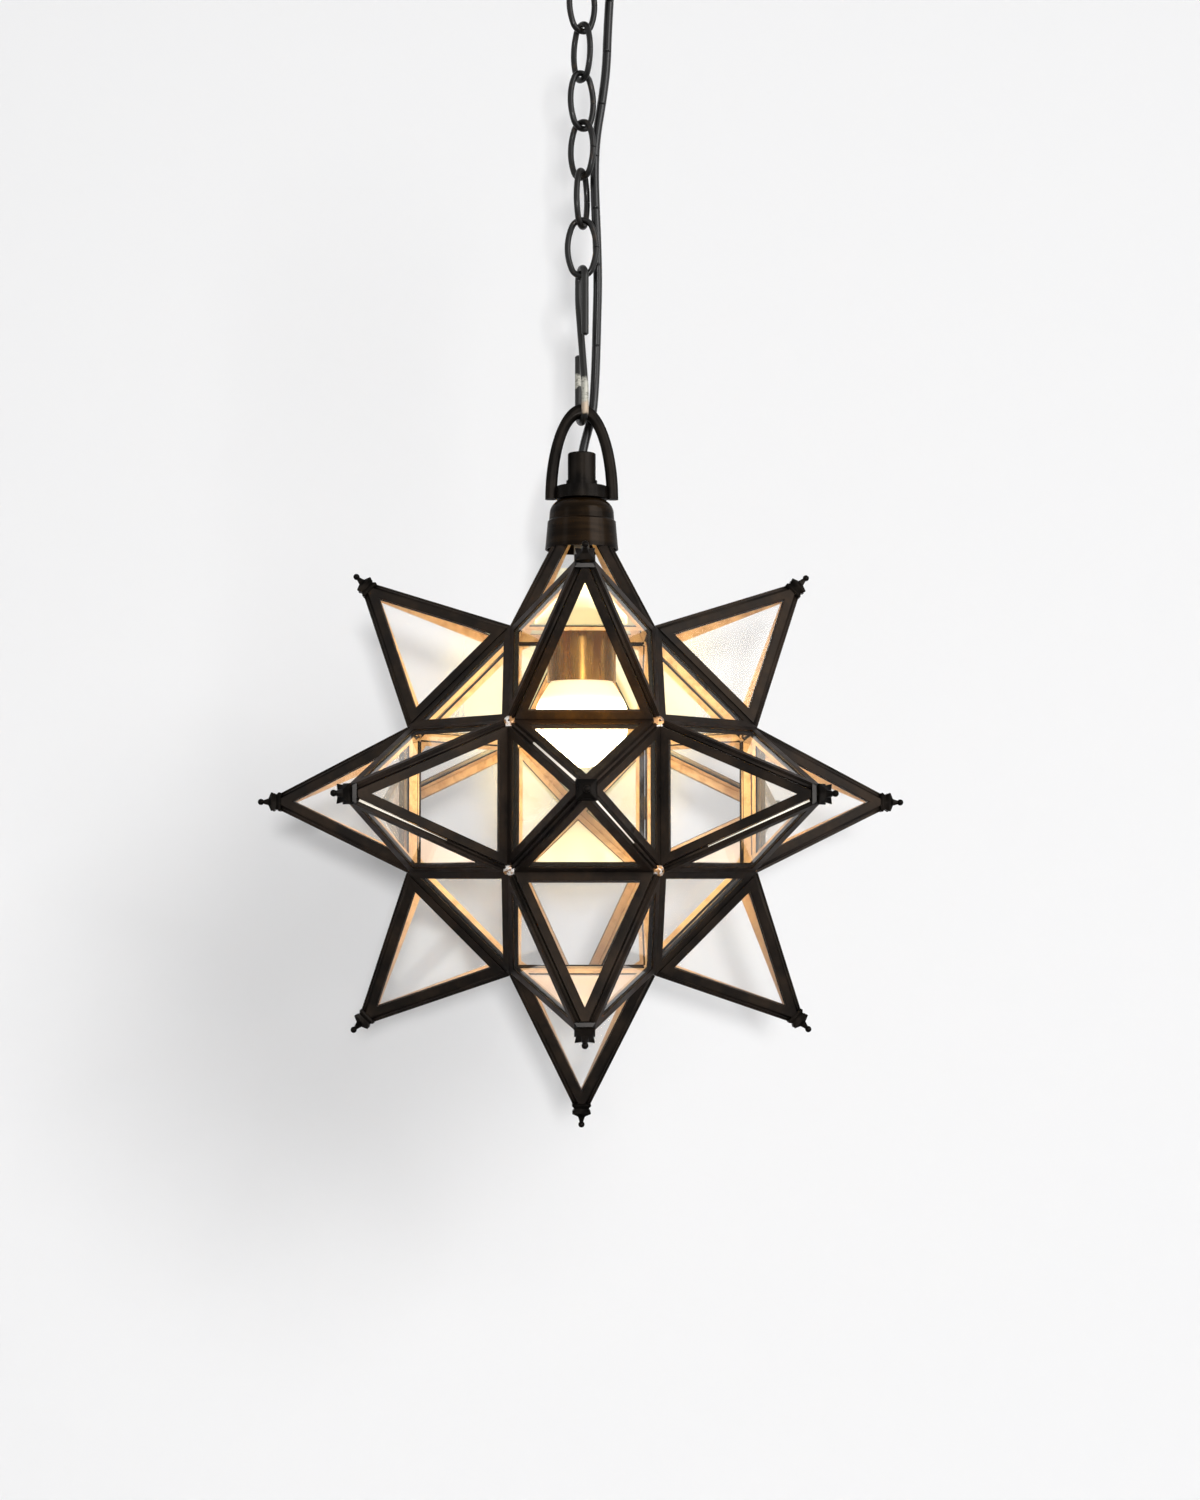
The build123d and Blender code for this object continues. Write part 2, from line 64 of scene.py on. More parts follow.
class Wire:  # a socket in a node tree, so that shader sums read as sums
    def __init__(self, finish, socket):
        self.finish = finish
        self.socket = socket

    def sum(self, operation, left, right):
        return self.finish.node("ShaderNodeMath", {"operation": operation}, {0: left, 1: right})

    def __add__(self, other):
        return self.sum("ADD", self, other)

    def __sub__(self, other):
        return self.sum("SUBTRACT", self, other)

    def __mul__(self, other):
        return self.sum("MULTIPLY", self, other)

    def __truediv__(self, other):
        return self.sum("DIVIDE", self, other)

    def __radd__(self, other):
        return self.sum("ADD", other, self)

    def __rsub__(self, other):
        return self.sum("SUBTRACT", other, self)

    def __rmul__(self, other):
        return self.sum("MULTIPLY", other, self)

    def upTo(self, other):  # the larger of two values
        return self.sum("MAXIMUM", self, other)


class Finish:  # a material or world, with one way of making nodes
    def __init__(self, owner, shader, constants=None):
        owner.use_nodes = True
        self.owner = owner
        self.tree = owner.node_tree
        self.shader = next(n for n in self.tree.nodes if n.type == shader)
        for name, value in (constants or {}).items():
            self.shader.inputs[name].default_value = value

    def node(self, kind, settings=None, inputs=None, out=0):
        made = self.tree.nodes.new(kind)
        for name, value in (settings or {}).items():
            setattr(made, name, value)
        for name, value in (inputs or {}).items():
            self.join(made, name, value)
        return Wire(self, made.outputs[out])

    def join(self, made, name, value):
        if isinstance(value, Wire):
            self.tree.links.new(value.socket, made.inputs[name])
        else:
            made.inputs[name].default_value = value

    def feed(self, **inputs):
        for name, value in inputs.items():
            self.join(self.shader, name.replace("_", " "), value)

    def place(self):
        return self.node("ShaderNodeTexCoord", out="Object")

    def normal(self):
        return self.node("ShaderNodeTexCoord", out="Normal")

    def vector(self, operation, *inputs, out=0):
        settings = {"operation": operation}
        return self.node("ShaderNodeVectorMath", settings, dict(enumerate(inputs)), out)

    def part(self, vector, axis):
        return self.node("ShaderNodeSeparateXYZ", None, {0: vector}, out=axis)

    def noise(self, scale, detail=3.0, rough=0.55, stretch=(1, 1, 1)):
        place = self.vector("MULTIPLY", self.place(), stretch)
        inputs = {"Vector": place, "Scale": scale, "Detail": detail, "Roughness": rough}
        return self.node("ShaderNodeTexNoise", None, inputs)

    def step(self, value, low, high, fromValue=0.0, toValue=1.0):
        settings = {"interpolation_type": "SMOOTHSTEP"}
        inputs = {0: value, 1: low, 2: high, 3: fromValue, 4: toValue}
        return self.node("ShaderNodeMapRange", settings, inputs)

    def patches(self, noise, cut, stretch=(1, 1, 1)):  # noise cut into soft-edged spots
        return self.step(self.noise(*noise, stretch=stretch), *cut)

    def total(self, shares, **masks):  # a base value, and a share of each mask
        value = shares["base"]
        for name, mask in masks.items():
            value = value + shares[name] * mask
        return value

    def mix(self, mask, colourA, colourB):
        settings = {"data_type": "RGBA"}
        inputs = {0: mask, 6: colourA, 7: colourB}
        return self.node("ShaderNodeMix", settings, inputs, out=2)

    def bump(self, height, strength, distance, edge=0.0):
        inputs = {"Height": height, "Strength": strength, "Distance": distance}
        if edge:  # rounds sharp edges in the shading
            inputs["Normal"] = self.node("ShaderNodeBevel", {"samples": 4}, {"Radius": edge})
        self.feed(Normal=self.node("ShaderNodeBump", None, inputs))

    def away(self, centre, stretch=(1, 1, 1)):  # metres from a point, each way weighed by stretch
        reach = self.vector("SUBTRACT", self.place(), centre)
        return self.vector("LENGTH", self.vector("MULTIPLY", reach, stretch), out="Value")

    def facing(self, centre):  # how far outward a face looks from a point, in metres
        reach = self.vector("SUBTRACT", self.place(), centre)
        return self.vector("DOT_PRODUCT", self.normal(), reach, out="Value")

    def along(self, axis):  # one of the place's three parts, in metres
        return self.part(self.place(), axis)


def material(name, **constants):
    made = {key.replace("_", " "): value for key, value in constants.items()}
    return Finish(bpy.data.materials.new(name), "BSDF_PRINCIPLED", made)


def rgb(red, green, blue):
    return (red, green, blue, 1.0)


# Finishes. Noise is given as scale, detail and roughness, and cut as where its spots begin
# and are full. Bump is given as strength, depth and the radius that softens edges.
cameBronze = {
    "dark": rgb(0.0115, 0.0100, 0.0091),
    "brown": rgb(0.034, 0.0236, 0.0168),
    "brownShare": {"base": 0.0, "cloud": 0.7, "spots": 0.3},
    "paintedGlare": rgb(0.115, 0.048, 0.010),  # painted glare of the lamp on the outer faces of the cames before it
    "glareAt": Vector((0, -0.108, 0.004)),  # from the lamp's centre to the came before it
    "glareReach": (0.050, 0.008),  # metres from there, where it begins and is full
    "glareShare": {"base": 0.55, "spots": 0.45},
    "copper": rgb(0.82, 0.57, 0.30),
    "tarnish": rgb(0.60, 0.36, 0.17),
    "dull": rgb(0.44, 0.335, 0.27),  # inner faces far from the lamp, painted shade where its light falls off
    "paintedShadeReach": (0.12, 0.22),
    "inside": (-0.0795, -0.082),  # how far inward a face looks before it counts as inner
    "cloud": {"noise": (38.0, 4.0), "cut": (0.35, 0.7)},
    "spots": {"noise": (120.0, 5.0, 0.65), "cut": (0.42, 0.68)},
    "grain": (420.0, 3.0, 0.6),
    "roughness": {"base": 0.34, "cloud": 0.2, "grain": 0.12},
    "metal": {"base": 0.5, "inside": -0.35},
    "specular": 0.26,
    "tint": rgb(0.42, 0.34, 0.28),
    "bump": (0.25, 0.0004, 0.0005),
}


def makeCameBronze():
    s = cameBronze
    f = material("cameBronze", Specular_IOR_Level=s["specular"], Specular_Tint=s["tint"])
    inside = f.step(f.facing(starCentre), *s["inside"])
    cloud = f.patches(**s["cloud"])
    spots = f.patches(**s["spots"])
    grain = f.noise(*s["grain"])
    # painted glare: the cames just before the lamp turn browner, standing in for its light
    glare = f.step(f.away(lampCentre + s["glareAt"]), *s["glareReach"])
    # painted falloff of lamplight: inner faces are bright copper near the lamp and duller further
    # off
    far = f.step(f.away(lampCentre), *s["paintedShadeReach"])
    unglared = f.mix(f.total(s["brownShare"], cloud=cloud, spots=spots), s["dark"], s["brown"])
    outer = f.mix(glare * f.total(s["glareShare"], spots=spots), unglared, s["paintedGlare"])
    inner = f.mix(far, f.mix(spots, s["copper"], s["tarnish"]), s["dull"])
    f.feed(Base_Color=f.mix(inside, outer, inner))
    f.feed(Roughness=f.total(s["roughness"], cloud=cloud, grain=grain))
    f.feed(Metallic=f.total(s["metal"], inside=inside))
    f.bump(grain, *s["bump"])
    return f


castBronze = {
    "dark": rgb(0.0048, 0.0043, 0.0039),
    "brown": rgb(0.0135, 0.0105, 0.0082),
    "stretch": (1, 1, 1),
    "coat": {"base": 0.028, "cloud": 0.024},
    "edge": 0.0004,
}
capBronze = {  # the cap is turned, and browner
    "dark": rgb(0.0050, 0.0026, 0.0008),
    "brown": rgb(0.0180, 0.0085, 0.0018),
    "stretch": (0.3, 0.3, 4),
    "coat": {"base": 0.084, "cloud": 0.072},
    "edge": 0.0006,
}
castSkin = {  # shared by both
    "cloud": {"noise": (55.0, 4.0, 0.55), "cut": (0.35, 0.72)},
    "grain": (650.0, 3.0, 0.6),
    "roughness": {"base": 0.28, "cloud": 0.14, "grain": 0.1},
    "metal": {"base": 0.6, "cloud": -0.15},
    "coatRoughness": 0.2,
    "specular": 0.07,
    "tint": rgb(0.26, 0.21, 0.18),
    "bump": (0.3, 0.0003),
}


def makeCast(name, s):
    c = castSkin
    f = material(
        name,
        Coat_Roughness=c["coatRoughness"],
        Specular_IOR_Level=c["specular"],
        Specular_Tint=c["tint"],
    )
    cloud = f.patches(**c["cloud"], stretch=s["stretch"])
    grain = f.noise(*c["grain"], s["stretch"])
    f.feed(Base_Color=f.mix(cloud, s["dark"], s["brown"]))
    f.feed(Roughness=f.total(c["roughness"], cloud=cloud, grain=grain))
    f.feed(Metallic=f.total(c["metal"], cloud=cloud))
    f.feed(Coat_Weight=f.total(s["coat"], cloud=cloud))
    f.bump(grain, *c["bump"], s["edge"])
    return f


chainBlack = {
    "lacquer": rgb(0.0060, 0.0055, 0.0052),
    "rubbed": rgb(0.040, 0.031, 0.024),
    "rub": {"noise": (160.0, 4.0, 0.6), "cut": (0.55, 0.75)},
    "grain": (900.0, 2.0),
    "roughness": {"base": 0.33, "grain": 0.15},
    "metal": {"base": 0.35, "rub": 0.4},
    "coat": {"base": 0.2, "rub": -0.15},
    "coatRoughness": 0.15,
    "specular": 0.2,
    "bump": (0.2, 0.0002),
}


def makeChainBlack():
    s = chainBlack
    f = material("chainBlack", Coat_Roughness=s["coatRoughness"], Specular_IOR_Level=s["specular"])
    rub = f.patches(**s["rub"])
    grain = f.noise(*s["grain"])
    f.feed(Base_Color=f.mix(rub, s["lacquer"], s["rubbed"]))
    f.feed(Roughness=f.total(s["roughness"], grain=grain))
    f.feed(Metallic=f.total(s["metal"], rub=rub))
    f.feed(Coat_Weight=f.total(s["coat"], rub=rub))
    f.bump(grain, *s["bump"])
    return f


hookWear = {
    "lacquer": rgb(0.0080, 0.0074, 0.0066),
    "steel": rgb(0.40, 0.39, 0.34),
    "scored": rgb(0.20, 0.195, 0.17),
    "copper": rgb(0.42, 0.335, 0.25),
    "bareTop": -0.3440,  # heights between which the near leg has lost its lacquer
    "bareLow": -0.3655,
    "copperAt": -0.3585,
    "rubTop": -0.3385,  # and the far leg, in patches
    "rubLow": -0.3490,
    "fade": 0.0012,
    "near": (0.002, -0.002),  # from far leg to near leg, across the middle
    "ragged": {"noise": (150.0, 3.0), "height": 0.009},
    "patch": {"noise": (240.0, 3.0, 0.5), "cut": (0.42, 0.5)},
    "scores": {"noise": (420.0, 4.0, 0.6), "cut": (0.5, 0.62), "stretch": (1, 1, 2)},
    "grain": (700.0, 3.0),
    "roughness": {"base": 0.34, "grain": 0.12, "bare": 0.12},
    "metal": {"base": 0.35, "bare": 0.1},
    "coat": {"base": 0.2, "bare": -0.2},
    "coatRoughness": 0.15,
    "specular": 0.25,
    "worn": 0.6,  # how far bare metal lies below the lacquer, in the bump's height
    "bump": (0.3, 0.0002),
}


def makeHookWear():
    s = hookWear
    f = material("hookWear", Coat_Roughness=s["coatRoughness"], Specular_IOR_Level=s["specular"])
    z = f.along(2) + s["ragged"]["height"] * (f.noise(*s["ragged"]["noise"]) - 0.5)
    near = f.step(f.along(1), *s["near"])
    patch = f.patches(**s["patch"])
    grain = f.noise(*s["grain"])

    def above(level):
        return f.step(z, s[level] - s["fade"], s[level] + s["fade"])

    def below(level):
        return f.step(z, s[level] - s["fade"], s[level] + s["fade"], 1.0, 0.0)

    nearBare = near * (below("bareTop") * above("bareLow"))
    farBare = (1 - near) * (below("rubTop") * above("rubLow")) * patch
    bare = nearBare + farBare
    steel = f.mix(f.patches(**s["scores"]), s["steel"], s["scored"])
    metal = f.mix(below("copperAt"), steel, s["copper"])
    f.feed(Base_Color=f.mix(bare, s["lacquer"], metal))
    f.feed(Roughness=f.total(s["roughness"], grain=grain, bare=bare))
    f.feed(Metallic=f.total(s["metal"], bare=bare))
    f.feed(Coat_Weight=f.total(s["coat"], bare=bare))
    f.bump(grain - s["worn"] * bare, *s["bump"])
    return f


paneGlass = {
    "clear": rgb(0.80, 0.806, 0.81),
    "smoke": rgb(0.72, 0.722, 0.722),
    "paintedHalo": rgb(0.86, 0.83, 0.78),  # painted halo of lamplight on the inner faces, around the lamp
    "dust": rgb(1.0, 0.84, 0.74),  # settled on the inner faces that look up
    "paintedLampTint": rgb(0.95, 0.88, 0.58),  # painted lamplight, right by the lamp
    # the glows below are painted lamplight, the panes give off no light of their own
    "noGlow": rgb(0, 0, 0),
    "paintedHaloGlow": rgb(0.48, 0.43, 0.36),
    "paintedDustGlow": rgb(0.60, 0.46, 0.36),
    "glow": rgb(1.0, 0.95, 0.52),
    "glowStrength": 0.62,
    "outerFilm": 0.03,
    "innerFilm": 0.065,
    "paintedHaloFilm": 0.045,
    "paintedHaloReach": (0.210, 0.100),  # metres from the lamp's centre
    "dustFilm": 0.46,
    "dustSlope": (0.55, 0.95),  # the normal's upward part
    "litFilm": 0.30,
    "litAt": Vector((0, 0, 0.018)),  # from the lamp's centre
    "litReach": (0.200, 0.120),  # metres from there, weighed each way by litStretch
    "litStretch": (1.9, 0.75, 1.15),
    "inside": (0.02, -0.02),
    "cloud": (16.0, 4.0, 0.55),
    "cloudCut": (0.35, 0.7),
    "smears": {"base": 0.7, "cloud": 0.6},
    "wave": (30.0, 1.0, 0.4),
    "shine": 1.45,  # refraction index of the reflection
    "index": 1.5,
    "roughness": {"base": 0.03, "cloud": 0.05},
    "bump": (0.04, 0.002),
}


def makePaneGlass():
    s = paneGlass
    f = material("paneGlass", IOR=s["index"], Emission_Strength=s["glowStrength"])
    cloud = f.noise(*s["cloud"])
    wave = f.noise(*s["wave"])
    front = 1 - f.node("ShaderNodeNewGeometry", out="Backfacing")
    inside = f.step(f.facing(starCentre), *s["inside"])
    # painted halo: inner faces near the lamp turn paler, thicker and glowing, standing in for its
    # light
    paintedHalo = inside * f.step(f.away(lampCentre), *s["paintedHaloReach"])
    # painted lamplight: the inner faces right by the lamp turn straw and glow
    lit = inside * f.step(f.away(lampCentre + s["litAt"], s["litStretch"]), *s["litReach"])
    # real dust on the inner faces that look up, also given a painted glow of lamplight
    dustAndGlow = inside * f.step(f.part(f.normal(), 2), *s["dustSlope"])
    smears = f.total(s["smears"], cloud=cloud)
    inner = (s["innerFilm"] + s["paintedHaloFilm"] * paintedHalo) * smears
    inner = inner + s["litFilm"] * lit + s["dustFilm"] * dustAndGlow
    film = s["outerFilm"] * (1 - inside) + inner * inside
    shine = f.node("ShaderNodeFresnel", None, {"IOR": s["shine"]})
    pale = f.mix(f.step(cloud, *s["cloudCut"]), s["clear"], s["smoke"])
    dustAndHalo = f.mix(dustAndGlow, f.mix(paintedHalo, pale, s["paintedHalo"]), s["dust"])
    paintedHaloLight = f.mix(paintedHalo, s["noGlow"], s["paintedHaloGlow"])
    f.feed(Base_Color=f.mix(lit, dustAndHalo, s["paintedLampTint"]))
    f.feed(Emission_Color=f.mix(lit, f.mix(dustAndGlow, paintedHaloLight, s["paintedDustGlow"]), s["glow"]))
    f.feed(Alpha=front * (film + shine))
    f.feed(Metallic=shine / (film + shine))
    f.feed(Roughness=f.total(s["roughness"], cloud=cloud))
    f.bump(wave, *s["bump"])
    return f


opalLamp = {
    "glass": rgb(0.95, 0.93, 0.88),
    "glow": rgb(1.0, 0.80, 0.46),
    "shoulder": rgb(0.032, 0.024, 0.013),
    "shoulderLow": 0.000,  # metres from the lamp's centre
    "shoulderHigh": 0.018,
    "strength": 24.0,
    "frost": (900.0, 2.0),
    "roughness": {"base": 0.45, "frost": 0.15},
}


def makeOpalLamp():
    s = opalLamp
    f = material("opalLamp", Base_Color=s["glass"], Emission_Strength=s["strength"])
    high, low = lampCentre.z + s["shoulderHigh"], lampCentre.z + s["shoulderLow"]
    full = f.step(f.along(2), high, low)
    f.feed(Emission_Color=f.mix(full * full, s["shoulder"], s["glow"]))
    f.feed(Roughness=f.total(s["roughness"], frost=f.noise(*s["frost"])))
    return f


brushed = {
    "streak": (140.0, 3.0, 0.5),
    "cloud": {"noise": (60.0, 3.0), "cut": (0.3, 0.7)},
    "dullShare": {"base": 0.0, "streak": 0.6, "cloud": 0.4},
    "metal": {"base": 0.96, "cloud": -0.12},
    "bump": (0.12, 0.0003),
}
socketBrass = {
    "bright": rgb(0.27, 0.145, 0.030),
    "dull": rgb(0.11, 0.052, 0.011),
    "roughness": {"base": 0.2, "streak": 0.15},
    "stretch": (3, 3, 0.3),
}
capNickel = {
    "bright": rgb(0.62, 0.60, 0.56),
    "dull": rgb(0.42, 0.40, 0.37),
    "roughness": {"base": 0.25, "streak": 0.15},
    "stretch": (1, 1, 3),
}
strapZinc = {
    "bright": rgb(0.40, 0.405, 0.41),
    "dull": rgb(0.27, 0.274, 0.278),
    "roughness": {"base": 0.4, "streak": 0.15},
    "stretch": (0.3, 2, 1),
}


def makeBrushed(name, s):
    b = brushed
    f = material(name)
    streak = f.noise(*b["streak"], s["stretch"])
    cloud = f.patches(**b["cloud"])
    share = f.total(b["dullShare"], streak=streak, cloud=cloud)
    f.feed(Base_Color=f.mix(share, s["bright"], s["dull"]))
    f.feed(Roughness=f.total(s["roughness"], streak=streak))
    f.feed(Metallic=f.total(b["metal"], cloud=cloud))
    f.bump(streak, *b["bump"])
    return f


holderCeramic = {
    "base": rgb(0.80, 0.78, 0.73),
    "other": rgb(0.72, 0.69, 0.63),
    "roughness": {"base": 0.35, "cloud": 0.1},
    "specular": 0.5,
    "cloud": (90.0, 3.0),
    "grain": (540.0, 2.0),
}
leadSleeve = {
    "base": rgb(0.78, 0.77, 0.74),
    "other": rgb(0.70, 0.69, 0.66),
    "roughness": {"base": 0.4, "cloud": 0.1},
    "specular": 0.5,
    "cloud": (200.0, 3.0),
    "grain": (1200.0, 2.0),
}
cordBlack = {
    "base": rgb(0.0050, 0.0049, 0.0049),
    "other": rgb(0.0085, 0.0081, 0.0079),
    "roughness": {"base": 0.2, "cloud": 0.1},
    "specular": 0.3,
    "cloud": (260.0, 3.0),
    "grain": (1560.0, 2.0),
}
plainBump = (0.1, 0.0002)


def makePlain(name, s):
    f = material(name, Specular_IOR_Level=s["specular"])
    cloud = f.noise(*s["cloud"])
    f.feed(Base_Color=f.mix(cloud, s["base"], s["other"]))
    f.feed(Roughness=f.total(s["roughness"], cloud=cloud))
    f.bump(f.noise(*s["grain"]), *plainBump)
    return f


solderMetal = {
    "copper": rgb(0.46, 0.24, 0.10),
    # bright tin solder, whose pale patches also stand in for painted highlights
    "tinAndPaintedGlint": rgb(0.86, 0.83, 0.79),
    "patch": {"noise": (190.0, 4.0, 0.6), "cut": (0.47, 0.56)},
    "grain": (500.0, 3.0),
    "roughness": {"base": 0.28, "grain": 0.2},
    "metal": {"base": 0.75, "patch": -0.25},
    "bump": (0.4, 0.0004),
}


def makeSolder():
    s = solderMetal
    f = material("solderMetal")
    patch = f.patches(**s["patch"])
    grain = f.noise(*s["grain"])
    f.feed(Base_Color=f.mix(patch, s["copper"], s["tinAndPaintedGlint"]))
    f.feed(Roughness=f.total(s["roughness"], grain=grain))
    f.feed(Metallic=f.total(s["metal"], patch=patch))
    f.bump(grain, *s["bump"])
    return f


seamGleam = {  # lamplight in the seams that have come open
    "pale": rgb(0.90, 0.85, 0.76),
    "light": rgb(1.0, 0.90, 0.75),
    "strength": 0.42,
    "grain": (300.0, 2.0),
    "roughness": {"base": 0.35, "grain": 0.3},
}


def makeGleam():
    s = seamGleam
    f = material(
        "seamGleam",
        Base_Color=s["pale"],
        Emission_Color=s["light"],
        Emission_Strength=s["strength"],
    )
    f.feed(Roughness=f.total(s["roughness"], grain=f.noise(*s["grain"])))
    return f


cameFinish = makeCameBronze()
castFinish = makeCast("castBronze", castBronze)
capFinish = makeCast("capBronze", capBronze)
chainFinish = makeChainBlack()
hookFinish = makeHookWear()
glassFinish = makePaneGlass()
lampFinish = makeOpalLamp()
brassFinish = makeBrushed("socketBrass", socketBrass)
nickelFinish = makeBrushed("capNickel", capNickel)
zincFinish = makeBrushed("strapZinc", strapZinc)
ceramicFinish = makePlain("holderCeramic", holderCeramic)
leadFinish = makePlain("leadSleeve", leadSleeve)
cordFinish = makePlain("cordBlack", cordBlack)
solderFinish = makeSolder()
gleamFinish = makeGleam()
print("finishes made:", len(bpy.data.materials))


def dress(finish, *names):
    for name in names:
        shown = nodes[name]
        if not shown.material_slots:
            shown.data.materials.append(finish.owner)
        for slot in shown.material_slots:
            slot.material = finish.owner


tiers = ("top", "upper", "belt", "lower", "bottom", "door")
dress(cameFinish, *(f"{tier}_point_frames" for tier in tiers), "triangle_frames")
dress(cameFinish, "door_hinge_leaf", "body_hinge_leaf", "door_tab")
dress(glassFinish, *(f"{tier}_point_glass" for tier in tiers), "triangle_glass")
dress(castFinish, *(f"{tier}_finials" for tier in tiers[1:]))
dress(castFinish, "lantern_loop", "cord_grip", "canopy", "canopy_loop", "canopy_bushing")
dress(capFinish, "cap")
dress(chainFinish, *(name for name in nodes if name.startswith("chain_link")))
dress(hookFinish, "s_hook")
dress(lampFinish, "lamp_glass")
dress(nickelFinish, "lamp_cap", "hinge_pin")
dress(brassFinish, "socket_shell")
dress(ceramicFinish, "socket_liner")
dress(leadFinish, "lamp_leads")
dress(zincFinish, "mounting_strap", "strap_nut", "cap_nut", "canopy_stem", "head_stem")
dress(cordFinish, *(name for name in nodes if name.startswith("cord_span")))
print("nodes dressed")


def addPiece(name, mesh, finish):
    made = bpy.data.objects.new(name, mesh)
    bpy.context.scene.collection.objects.link(made)
    made.data.materials.append(finish.owner)
    return made


# The flex beside the chain: one tube for each joint that it passes
flex = {
    "diameter": 0.0058,
    "sides": 20,
    "splineOrder": 3,
    "smoothness": 12,  # points read from the spline between two of the route's points
    "turnZone": 0.004,  # metres above and below a joint
    "route": [
        (0.0205, 0.0155, -0.0340),
        (0.0202, 0.0152, -0.0560),
        (0.0185, 0.0139, -0.0835),
        (0.0170, 0.0122, -0.1095),
        (0.0162, 0.0116, -0.1340),
        (0.0132, 0.0103, -0.1575),
        (0.0094, 0.0094, -0.1800),
        (0.0082, 0.0064, -0.2030),
        (0.0088, 0.0042, -0.2265),
        (0.0099, 0.0052, -0.2510),
        (0.0106, 0.0072, -0.2765),
        (0.0099, 0.0092, -0.3040),
        (0.0093, 0.0108, -0.3295),
        (0.0083, 0.0115, -0.3498),
        (0.0070, 0.0098, -0.3638),
        (0.0037, 0.0050, -0.3763),
        (0.0009, 0.0011, -0.3878),
        (-0.0005, -0.0006, -0.3968),
    ],
}


def readSpline():
    s = flex
    curve = bpy.data.curves.new("flexRoute", "CURVE")
    curve.dimensions = "3D"
    curve.resolution_u = s["smoothness"]
    spline = curve.splines.new("NURBS")
    spline.points.add(len(s["route"]) - 1)
    for point, place in zip(spline.points, s["route"]):
        point.co = (*place, 1.0)
    spline.order_u = s["splineOrder"]
    spline.use_endpoint_u = True
    holder = bpy.data.objects.new("flexRoute", curve)
    bpy.context.scene.collection.objects.link(holder)
    line = bpy.data.meshes.new_from_object(holder)
    points = [vertex.co.copy() for vertex in line.vertices]
    bpy.data.objects.remove(holder)
    bpy.data.curves.remove(curve)
    bpy.data.meshes.remove(line)
    return points


def between(points, high, low):
    kept = []
    for a, b in zip(points, points[1:]):
        for level in (high, low):
            if a.z > level >= b.z:
                kept.append(a.lerp(b, (a.z - level) / (a.z - b.z)))
        if high > b.z > low:
            kept.append(b)
    return sorted(kept, key=lambda p: -p.z)


def sweepTube(name, points, radius, sides, finish):
    shape = bmesh.new()
    rings = []
    side = Vector((1, 0, 0))
    for k, point in enumerate(points):
        ahead = (points[min(k + 1, len(points) - 1)] - points[max(k - 1, 0)]).normalized()
        side = (side - ahead * side.dot(ahead)).normalized()
        turns = [Matrix.Rotation(2 * math.pi * n / sides, 3, ahead) for n in range(sides)]
        rings.append([shape.verts.new(point + radius * (turn @ side)) for turn in turns])
    for upper, lower in zip(rings, rings[1:]):
        for n in range(sides):
            m = (n + 1) % sides
            shape.faces.new((upper[n], upper[m], lower[m], lower[n])).smooth = True
    shape.faces.new(rings[0][::-1])
    shape.faces.new(rings[-1])
    bmesh.ops.recalc_face_normals(shape, faces=shape.faces)
    mesh = bpy.data.meshes.new(name)
    shape.to_mesh(mesh)
    shape.free()
    return addPiece(name, mesh, finish)


line = readSpline()
swings = [joint for joint in frame["joints"] if joint["name"].startswith("swing")]
for number, joint in enumerate(swings, 1):
    low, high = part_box(f"cord_span_{number}")
    path = between(line, high.z, low.z)
    tube = sweepTube(f"flexSpan{number}", path, flex["diameter"] / 2, flex["sides"], cordFinish)
    length = sum((b - a).length for a, b in zip(path, path[1:]))
    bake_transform(tube)
    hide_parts(f"cord_span_{number}")
print("flex swept in", len(swings), "tubes")


# Solder along the cames and in the corners of the core, with a few seams left open
solder = {
    "coreEdge": 0.088,
    "pointHeight": 0.092,
    "seamEnd": 0.918,  # share of a point's ridge, from the core to its finial
    "topSeamEnd": 0.600,
    "ridgeRadius": 0.0011,
    "ridgeSink": 0.0009,
    "valleyRadius": 0.0011,
    "valleyRise": 0.00104,
    "triangleRadius": 0.0006,
    "triangleShift": 0.00128,
    "edgeShort": 0.003,
    "sides": 8,
    "gleamSink": 0.0013,
    "beadRadius": 0.0040,
    "smallBead": 0.0021,
    "beadFineness": 3,
    "beadFlat": 0.55,
    "beadSink": 0.0002,
    "beadRough": 0.0008,
    "beadWaves": (2.4, 5.1),  # turns that keep its lumps from lining up
}
openSeams = {  # square, corner seen from outside: shares of the ridge, radius at each end
    ((0, -1, 0), (-1, 1)): (0.31, 0.87, 0.0006, 0.0008),
    ((0, -1, 0), (1, -1)): (0.34, 0.87, 0.0004, 0.0006),
    ((-1, -1, 0), (1, -1)): (0.38, 0.90, 0.0001, 0.0008),
    ((1, -1, 0), (-1, -1)): (0.30, 0.90, 0.0003, 0.0006),
}
doorSquare = (0, 1, 0)
topSquare = (0, 0, 1)


def squareAxes(direction):
    normal = Vector(direction).normalized()
    upright = direction[0] == 0 and direction[1] == 0
    level = Vector((1, 0, 0)) if upright else Vector((0, 0, 1)).cross(normal)
    level.normalize()
    rise = normal.cross(level)
    near = solder["coreEdge"] / 2
    return starCentre + normal * near * (1 + math.sqrt(2)), normal, level, rise


def addRod(shape, start, end, radius, endRadius):
    along = end - start
    turn = along.to_track_quat("Z", "Y").to_matrix().to_4x4()
    spot = Matrix.Translation((start + end) / 2) @ turn
    bmesh.ops.create_cone(
        shape,
        cap_ends=True,
        segments=solder["sides"],
        radius1=radius,
        radius2=endRadius,
        depth=along.length,
        matrix=spot,
    )


